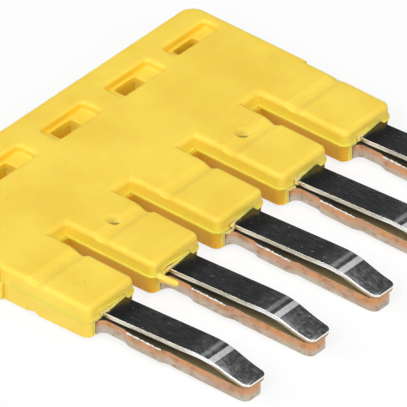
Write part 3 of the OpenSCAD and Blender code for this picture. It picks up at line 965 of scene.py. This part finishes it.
def spring_steel():
    """Finish of the strips' upper and lower faces."""
    material, tree, inputs, place = new_material("spring_steel")
    ahead = distance_from_front(tree, place)
    rubbing = noise(tree, stretched(tree, place, 0.25), RUB_SCALE, 3.0, 0.6)
    mottle = noise(tree, place, MOTTLE_SCALE, 4.0, 0.7)
    faint = times(tree, between(tree, ahead, FAINT_LINE, FAINT_BLUR), FAINT_SHARE)
    strong = times(tree, between(tree, ahead, STRONG_LINE, STRONG_BLUR), STRONG_SHARE)
    scuffed = math_node(tree, "MAXIMUM", spread(tree, ahead, *TOE_SCUFF, 0.0, 0.24),
                        spread(tree, ahead, *BOW_SCUFF, 0.0, 0.14))
    scuffed = times(tree, scuffed, spread(tree, noise(tree, place, SCUFF_SCALE, 4.0, 0.65), 0.25, 0.75))
    flecks = noise(tree, stretched(tree, place, 0.6), FLECK_SCALE, 2.0, 0.6)
    worn = math_node(tree, "ADD", scuffed, spread(tree, flecks, 0.68, 0.76, 0.0, 0.5))
    pale = math_node(tree, "ADD", math_node(tree, "ADD", faint, strong), worn)
    pale = math_node(tree, "MULTIPLY", pale, spread(tree, mottle, 0.25, 0.6, 0.7, 1.0), clamp=True)
    steel = mix_colour(tree, spread(tree, rubbing, *NOISE_RANGE), *STEEL_TONES)
    # Painted shade towards the root.
    steel = mix_colour(tree, spread(tree, ahead, *NEAR_ROOT_FADE), steel, NEAR_ROOT_SHADE)
    steel = mix_colour(tree, spread(tree, ahead, *AT_ROOT_FADE), steel, AT_ROOT_SHADE)
    rough = spread(tree, rubbing, 0.2, 0.8, 0.16, 0.26)
    fill(tree, inputs, Base_Color=mix_colour(tree, pale, steel, RUBBED),
         Metallic=math_node(tree, "MULTIPLY_ADD", pale, -0.75, 1.0),
         Roughness=math_node(tree, "MULTIPLY_ADD", pale, 0.3, rough),
         Normal=bumps(tree, mottle, 0.12, 0.006 * MM))
    return material


def steel_cut_edge():
    """Finish of the punched edges: on the toe bright above, where they were sheared, and torn below, with a
    painted reflection of the copper near the tip.
    """
    material, tree, inputs, place = new_material("steel_cut_edge")
    ahead = distance_from_front(tree, place)
    streaks = noise(tree, stretched(tree, place, 0.2), STREAK_SCALE, 3.0, 0.6)
    cut = mix_colour(tree, spread(tree, streaks, *NOISE_RANGE), *CUT_TONES)
    cut = mix_colour(tree, spread(tree, ahead, *CUT_ROOT_FADE), cut, CUT_AT_ROOT)
    # Near the tip the torn tone turns orange, a painted reflection of the copper below.
    torn = mix_colour(tree, spread(tree, ahead, *COPPER_REFLECTION_FADE), *TORN_AND_REFLECTED_COPPER_TONES)
    ragged = math_node(tree, "MULTIPLY_ADD", streaks, 0.3, mark(tree, "rise"))
    ragged = math_node(tree, "ADD", ragged, spread(tree, ahead, *SHEAR_FADE, 0.0, 0.5))
    bright = mix_colour(tree, spread(tree, ragged, 0.68, 0.84), torn, SHEARED)
    fill(tree, inputs, Base_Color=mix_colour(tree, spread(tree, ahead, *CUT_TOE_FADE), cut, bright),
         Roughness=spread(tree, streaks, 0.2, 0.8, 0.28, 0.42), Metallic=1.0)
    return material


steel_face = spring_steel()
steel_edge = steel_cut_edge()
print("two finishes:", steel_face.name, steel_edge.name)

# %% [markdown]
# A strip is sheet metal bent along a line. The line is a handful of knees, each rounded by a parabola
# that runs as far to either side as the bend reaches. Its width is a second, even simpler line, and the
# tip's corners are quarter circles, which need a few rows of their own.

# %% Bent line and width of a strip
BEND_STEPS = 8
TIP_STEPS = 6
# Sizes of a strip, in millimetres.
STRIP_THICKNESS = 0.335
STRIP_EDGE_RADIUS = 0.05
STRIP_TIP_RADIUS = 0.45
EAR_LENGTH = 1.2
EAR_WIDTH = 3.2
# Distance in front of the finger, height and reach of the bend, in millimetres.
STRIP_KNEES = [(-strip_root, 0.435, 0), (0.5, 0.435, 0.35), (7.7, 0.85, 0.4), (8.6, 0.73, 0.3),
               (10.2, 0.24, 0.6), (strip_length, 0.03, 0)]
# Distance in front of the finger and width there, in millimetres.
STRIP_WIDTHS = [(-strip_root, EAR_WIDTH), (EAR_LENGTH - strip_root, EAR_WIDTH),
                (EAR_LENGTH - strip_root + 0.01, 2.17), (4, 2.15), (6.2, 2.15), (8, 2.06),
                (strip_length, 1.86)]


def bent_line(knees):
    """Points of a line with rounded knees."""
    points = [knees[0][:2]]
    for before, knee, after in zip(knees, knees[1:], knees[2:]):
        corner = np.array(knee[:2])
        back = np.array(before[:2]) - corner
        ahead = np.array(after[:2]) - corner
        for t in np.linspace(0, 1, BEND_STEPS + 1):
            pull = (1 - t) ** 2 * back / np.linalg.norm(back) + t ** 2 * ahead / np.linalg.norm(ahead)
            points.append(tuple(corner + knee[2] * pull))
    points.append(knees[-1][:2])
    return np.array(points)


def strip_rows(start, end):
    """Distance, height and half width of each row of a strip between two distances."""
    line = bent_line(STRIP_KNEES)
    turns = np.linspace(0, math.pi / 2, TIP_STEPS + 1)
    tip = strip_length - STRIP_TIP_RADIUS * (1 - np.sin(turns))
    rows = np.concatenate([line[:, 0], [w[0] for w in STRIP_WIDTHS], tip, [start, end]])
    rows = np.unique(np.round(rows[(rows >= start) & (rows <= end)], 4))
    heights = np.interp(rows, line[:, 0], line[:, 1])
    widths = np.interp(rows, [w[0] for w in STRIP_WIDTHS], [w[1] / 2 for w in STRIP_WIDTHS])
    into = np.clip(rows - (strip_length - STRIP_TIP_RADIUS), 0, STRIP_TIP_RADIUS)
    widths += np.sqrt(STRIP_TIP_RADIUS ** 2 - into ** 2) - STRIP_TIP_RADIUS
    return rows, heights, widths


print("a strip has %d rows" % len(strip_rows(-strip_root, strip_length)[0]))

# %% [markdown]
# The strip is swept along that line by Geometry Nodes: a rectangle with rounded corners follows the
# path, and each ring is then scaled sideways to the sheet's width there. The path carries the width as
# an attribute, so one tree serves arm and toe alike. The ring carries its own height as another one, by
# which the punched edge is bright above and dull below.

# %% Geometry Nodes tree for bent sheet metal
FACE_STEEPNESS = 0.8
PROFILE_WIDTH = 2 * MM
PROFILE_STEPS = 3


def new_tree(name, inputs, output):
    """Geometry Nodes tree with the named inputs and one output; returns it with its inputs' sockets."""
    tree = bpy.data.node_groups.new(name, "GeometryNodeTree")
    for label, kind in inputs:
        tree.interface.new_socket(label, in_out="INPUT", socket_type="NodeSocket" + kind)
    tree.interface.new_socket(output, in_out="OUTPUT", socket_type="NodeSocketGeometry")
    return tree, add(tree, "NodeGroupInput").outputs


def carried(tree, name):
    """Value that the path carries under this name."""
    return add(tree, "GeometryNodeInputNamedAttribute", {"data_type": "FLOAT"}, Name=name).outputs[0]


def position(tree):
    return add(tree, "GeometryNodeInputPosition").outputs[0]


def bent_sheet_tree():
    tree, given = new_tree("bent_sheet", (
        ("Path", "Geometry"), ("Thickness", "Float"), ("Edge Radius", "Float"), ("Face", "Material"),
        ("Edge", "Material")), "Sheet")
    path = add(tree, "GeometryNodeMeshToCurve", Mesh=given["Path"])
    path = add(tree, "GeometryNodeSetCurveNormal", {"mode": "Z_UP"}, Curve=path.outputs[0])
    ring = add(tree, "GeometryNodeCurvePrimitiveQuadrilateral", Width=PROFILE_WIDTH,
               Height=given["Thickness"])
    ring = add(tree, "GeometryNodeFilletCurve", {"mode": "POLY"}, Curve=ring.outputs[0], Count=PROFILE_STEPS,
               Radius=given["Edge Radius"], Limit_Radius=True)
    level = split(tree, position(tree))["Y"]
    rise = math_node(tree, "SUBTRACT", 0.5, math_node(tree, "DIVIDE", level, given["Thickness"]))
    ring = add(tree, "GeometryNodeStoreNamedAttribute", {"data_type": "FLOAT", "domain": "POINT"},
               Geometry=ring.outputs[0], Name="rise", Value=rise)
    sweep = add(tree, "GeometryNodeCurveToMesh", Curve=path.outputs[0], Profile_Curve=ring.outputs[0],
                Fill_Caps=True)
    width = math_node(tree, "DIVIDE", carried(tree, "half_width"), PROFILE_WIDTH / 2)
    scale = add(tree, "ShaderNodeCombineXYZ", X=width, Y=1.0, Z=1.0)
    wide = add(tree, "ShaderNodeVectorMath", {"operation": "MULTIPLY"}, _0=position(tree),
               _1=scale.outputs[0])
    sheet = add(tree, "GeometryNodeSetPosition", Geometry=sweep.outputs[0], Position=wide.outputs[0])
    upright = size_of(tree, split(tree, add(tree, "GeometryNodeInputNormal").outputs[0])["Z"])
    is_face = add(tree, "FunctionNodeCompare", {"operation": "GREATER_THAN"}, A=upright, B=FACE_STEEPNESS)
    sheet = add(tree, "GeometryNodeRealizeInstances", Geometry=sheet.outputs[0])
    sheet = add(tree, "GeometryNodeSetMaterial", Geometry=sheet.outputs[0], Material=given["Edge"])
    sheet = add(tree, "GeometryNodeSetMaterial", Geometry=sheet.outputs[0], Selection=is_face.outputs[0],
                Material=given["Face"])
    add(tree, "NodeGroupOutput", Sheet=sheet.outputs[0])
    return tree


sheet_tree = bent_sheet_tree()
print("%s: %d nodes" % (sheet_tree.name, len(sheet_tree.nodes)))

# %% [markdown]
# A tree makes nothing by itself: it runs as a modifier on a mesh of plain lines, and what it makes is taken
# over as a plain mesh. A strip is made at the middle of the frame and moved to its pole. Its tip is kept to
# the length of the solid one, and its toe leans a little to the right.

# %% Running a tree along a path
TOE_SKEW = 0.025
TOE_SKEW_START = 7.0 * MM
SHARP_EDGE = math.radians(35)


def run_tree(name, path, tree, values):
    """Object with the plain mesh that a Geometry Nodes tree makes from a path."""
    holder = bpy.data.objects.new(name, path)
    bpy.context.scene.collection.objects.link(holder)
    modifier = holder.modifiers.new("shape", "NODES")
    modifier.node_group = tree
    for item in tree.interface.items_tree:
        if item.in_out == "INPUT" and item.name in values:
            modifier[item.identifier] = values[item.name]
    depsgraph = bpy.context.evaluated_depsgraph_get()
    made = bpy.data.meshes.new_from_object(holder.evaluated_get(depsgraph))
    made.shade_smooth()
    holder.modifiers.clear()
    holder.data = made
    return holder


def path_mesh(name, points, lines, **values):
    """Mesh of lines whose points carry values, for a tree to follow."""
    mesh = bpy.data.meshes.new(name)
    mesh.from_pydata(points, lines, [])
    for label, numbers in values.items():
        mesh.attributes.new(label, "FLOAT", "POINT").data.foreach_set("value", numbers)
    return mesh


def sweep_strip(name, x, start, end):
    """Plain mesh object of one stretch of a strip."""
    rows, heights, widths = strip_rows(start, end)
    middle = copper_z - STRIP_THICKNESS / 2 * MM
    points = [(0, front_y - d * MM, middle + z * MM) for d, z in zip(rows, heights)]
    lines = [(k, k + 1) for k in range(len(points) - 1)]
    path = path_mesh(name, points, lines, half_width=(widths * MM).astype(np.float32))
    strip = run_tree(name, path, sheet_tree, {
        "Thickness": STRIP_THICKNESS * MM, "Edge Radius": STRIP_EDGE_RADIUS * MM,
        "Face": steel_face, "Edge": steel_edge})
    made = strip.data
    made.transform(Matrix.Translation((x, 0, 0)))
    corners = np.empty(len(made.vertices) * 3)
    made.vertices.foreach_get("co", corners)
    rows = corners.reshape(-1, 3)
    rows[:, 1] = np.maximum(rows[:, 1], front_y - strip_length * MM)
    rows[:, 0] += TOE_SKEW * np.maximum(0, front_y - rows[:, 1] - TOE_SKEW_START)
    made.vertices.foreach_set("co", corners)
    made.set_sharp_from_angle(angle=SHARP_EDGE)
    return strip


# %% [markdown]
# When something presses on the bow, the strip bends over its length while the toe stays on the copper.
# A single rigid strip couldn't do that, so it is made in two stretches that meet on the flat of the bow.
# The arm turns from the housing at its root to the flexing body at the seam, and the toe turns back.

# %% Five spring strips
# Distance of the seam in front of the finger, in millimetres.
SEAM = 7.6

for number, (x, node) in enumerate(zip(pole_x, spring_nodes), 1):
    body = "spring_%d" % number
    seam = Vector((x, front_y - SEAM * MM, copper_z))
    tip = Vector((x, front_y - strip_length * MM, copper_z))
    mouth = Vector((x, front_y, copper_z))
    arm = sweep_strip("strip_arm_%d" % number, x, -strip_root, SEAM)
    toe = sweep_strip("strip_toe_%d" % number, x, SEAM, strip_length)
    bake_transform(arm, "housing", body, mouth, seam)
    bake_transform(toe, body, "housing", seam, tip)
    for piece in (arm, toe):
        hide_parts(node)
    counts = [len(piece.data.polygons) for piece in (arm, toe)]
    print("strip %d: arm %d faces, toe %d faces" % (number, *counts))

# %% [markdown]
# Melt that was squeezed past the metal and burrs that a punch left are both small beads along a path. They
# could be modelled one by one, but a tree is easier to change: a ring runs along each path, as thick as the
# path says there, and a noise roughens what should be ragged.

# %% Geometry Nodes tree for beads
BEAD_SIDES = 10


def bead_tree():
    tree, given = new_tree("beads", (
        ("Path", "Geometry"), ("Step", "Float"), ("Grain", "Float"), ("Seed", "Float"),
        ("Finish", "Material")), "Beads")
    path = add(tree, "GeometryNodeMeshToCurve", Mesh=given["Path"])
    path = add(tree, "GeometryNodeResampleCurve", {"mode": "LENGTH"}, Curve=path.outputs[0],
               Length=given["Step"])
    thick = carried(tree, "thick")
    ring = add(tree, "GeometryNodeCurvePrimitiveCircle", Resolution=BEAD_SIDES, Radius=1.0)
    body = add(tree, "GeometryNodeCurveToMesh", Curve=path.outputs[0], Profile_Curve=ring.outputs[0],
               Scale=thick, Fill_Caps=True)
    wave = add(tree, "ShaderNodeTexNoise", {"noise_dimensions": "4D"}, W=given["Seed"], Scale=given["Grain"],
               Detail=3.0, Vector=position(tree)).outputs[0]
    push = times(tree, math_node(tree, "MULTIPLY_ADD", wave, 2.0, -1.0), carried(tree, "ragged"), thick)
    offset = add(tree, "ShaderNodeVectorMath", {"operation": "SCALE"}, Scale=push,
                 Vector=add(tree, "GeometryNodeInputNormal").outputs[0])
    body = add(tree, "GeometryNodeSetPosition", Geometry=body.outputs[0], Offset=offset.outputs[0])
    body = add(tree, "GeometryNodeRealizeInstances", Geometry=body.outputs[0])
    body = add(tree, "GeometryNodeSetMaterial", Geometry=body.outputs[0], Material=given["Finish"])
    add(tree, "NodeGroupOutput", Beads=body.outputs[0])
    return tree


beads = bead_tree()


def lay_beads(name, paths, values):
    """Beads along paths of (x, distance in front of the finger, z, thickness, raggedness), in millimetres."""
    points, lines, thick, ragged = [], [], [], []
    for path in paths:
        lines += [(len(points) + k, len(points) + k + 1) for k in range(len(path) - 1)]
        points += [(x * MM, front_y - d * MM, z * MM) for x, d, z, _, _ in path]
        thick += [row[3] * MM for row in path]
        ragged += [row[4] for row in path]
    mesh = path_mesh(name + "_paths", points, lines, thick=thick, ragged=ragged)
    return run_tree(name, mesh, beads, values)


print("%s: %d nodes" % (beads.name, len(beads.nodes)))

# %% [markdown]
# Where the strips come out, melt was squeezed past them and set as a thin ragged lip, and behind it lies a
# smoother one. A line of flash also runs down the left of each opening. On the second pole a little rod of it
# stands out beside the copper.

# %% Squeezed plastic round the strip roots
# Sizes in millimetres. For each strip: thickness of the lip beside it, and how far the lip stands out there
# and above the strip.
LIPS = [(0.08, 0.03, 0.14), (0.11, 0.08, 0.14), (0.13, 0.2, 0.0), (0.12, 0.15, 0.0), (0.11, 0.1, 0.05)]
LIP_TOP = 0.075
LONG_LIP = 0.12
WALL_SETBACK = -0.12
THIN_END = 0.03
ROOT_HALF_WIDTH = 1.83
ROD_X = -7.88
ROD_Z = 1.3
ROD_THICK = 0.225
ROD_RISE = 0.1
# Distance in front of the finger, and share of the rod's thickness there.
ROD_LINE = [(-0.3, 1.7), (0.0, 1.45), (0.25, 1.12), (0.6, 1.0), (1.2, 1.0), (1.32, 0.9), (1.42, 0.6),
            (1.47, 0.1)]
# How far the noise pushes a bead in and out, as a share of its thickness.
RAGGED, HALF_RAGGED, UNEVEN, WAVY, SMOOTH = 2.0, 1.0, 0.6, 0.3, 0.08


def root_paths(x, side, out, lead):
    """Paths of the flash round one strip, in millimetres."""
    back, root, top = WALL_SETBACK, ROOT_HALF_WIDTH, LIP_TOP
    yield [(x - 1.14, 0.0, 1.36, THIN_END, RAGGED), (x - 1.19, out + back / 2, 1.50, side + 0.02, RAGGED),
           (x - 1.13, out / 2, 1.68, side, RAGGED), (x - 0.95, 0.03 + lead, 1.74, top * 1.4, RAGGED),
           (x - 0.4, lead, 1.74, top * 1.2, UNEVEN), (x + 0.2, back / 2 + lead, 1.73, top, UNEVEN),
           (x + 0.8, back + lead, 1.72, top * 0.8, UNEVEN),
           (x + 1.1, back + lead / 2, 1.68, top * 0.7, UNEVEN), (x + 1.16, back, 1.42, THIN_END, UNEVEN)]
    if out > LONG_LIP:
        yield [(x - 2.0, 0.0, 1.4, THIN_END, RAGGED), (x - 1.75, out, 1.41, 0.08, RAGGED),
               (x - 1.35, out, 1.38, 0.08, RAGGED), (x - 1.2, 0.0, 1.4, THIN_END, RAGGED)]
    yield [(x - 1.3, back, 1.7, 0.05, WAVY), (x - 0.9, back, 1.755, 0.09, WAVY),
           (x, back + lead / 2, 1.755, 0.08, WAVY), (x + 0.6, back + lead / 2, 1.755, 0.07, WAVY),
           (x + 1.0, back, 1.74, 0.04, WAVY)]
    yield [(x - root, -0.02, z, thick, WAVY)
           for z, thick in ((0.30, THIN_END), (0.45, 0.06), (1.2, 0.06), (1.35, THIN_END))]
    for way, deep in ((-1, -0.04), (1, back)):
        yield [(x + way * across, deep, z, thick, HALF_RAGGED)
               for across, z, thick in ((root, 1.32, 0.05), (1.5, 1.34, 0.07), (1.1, 1.36, 0.05))]


paths = [path for x, lip in zip(pole_x, LIPS) for path in root_paths(x / MM, *lip)]
paths.append([(ROD_X, ahead, ROD_Z + ROD_RISE * ahead, ROD_THICK * share, SMOOTH)
              for ahead, share in ROD_LINE])
flash = lay_beads("moulding_flash", paths, {
    "Step": 0.03 * MM, "Grain": 7000.0, "Seed": 3.0, "Finish": cream})
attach(flash, "housing")
print("flash: %d faces along %d paths" % (len(flash.data.polygons), len(paths)))

# %% [markdown]
# Each copper tongue has a barb on either side, and the punch left a tin burr along its upper edge. Its
# near-white colour is a painted glint, the bright line along the barb's edge.
# The barb's outer edge is read from the comb's own corners, and the same tree lays a thin bead along it.

# %% Tin burrs on the barbs
# Sizes in millimetres; the span of a barb is its distance in front of the finger.
BARB_SPAN = (2.15, 4.9)
BARB_MARGIN = 0.5
BURR_THICK = 0.05
BURR_INSET = 0.02
BURR_SINK = 0.015
BURR_RAGGED = 1.8
SHINE_SCALE = 5000.0
# Painted glint: tones of a near-white tin.
TIN_GLINT_TONES = (0.62, 0.58, 0.52), (0.95, 0.95, 0.93)


def painted_glint_tin():
    material, tree, inputs, place = new_material("painted_glint_tin")
    # Painted glint: near-white, half-matt tin that shows as a bright line along the barb.
    glint = spread(tree, noise(tree, place, SHINE_SCALE, 2.0), *NOISE_RANGE)
    fill(tree, inputs, Base_Color=mix_colour(tree, glint, *TIN_GLINT_TONES),
         Roughness=spread(tree, glint, 0.0, 1.0, 0.5, 0.3), Metallic=0.4)
    return material


def barb_reach():
    """Half width of a tongue across its barbs, in millimetres."""
    first, last = BARB_SPAN[0] - BARB_MARGIN, BARB_SPAN[1] + BARB_MARGIN
    corners = [corner.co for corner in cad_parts["copper_comb"].data.vertices]
    reach = [abs(c.x - pole_x[0]) for c in corners if first < (front_y - c.y) / MM < last]
    return max(away for away in reach if away < pitch / 2) / MM


barb = barb_reach()
burr_z = copper_z / MM - BURR_SINK
half = barb - BURR_INSET
paths = [[(x / MM + side * half, ahead, burr_z, BURR_THICK, BURR_RAGGED) for ahead in BARB_SPAN]
         for x in pole_x for side in (-1, 1)]
burrs = lay_beads("tin_burrs", paths, {
    "Step": 0.05 * MM, "Grain": 5000.0, "Seed": 8.0, "Finish": painted_glint_tin()})
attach(burrs, "housing")
print("burrs: %d faces, barbs reach %.2f mm to the side" % (len(burrs.data.polygons), barb))
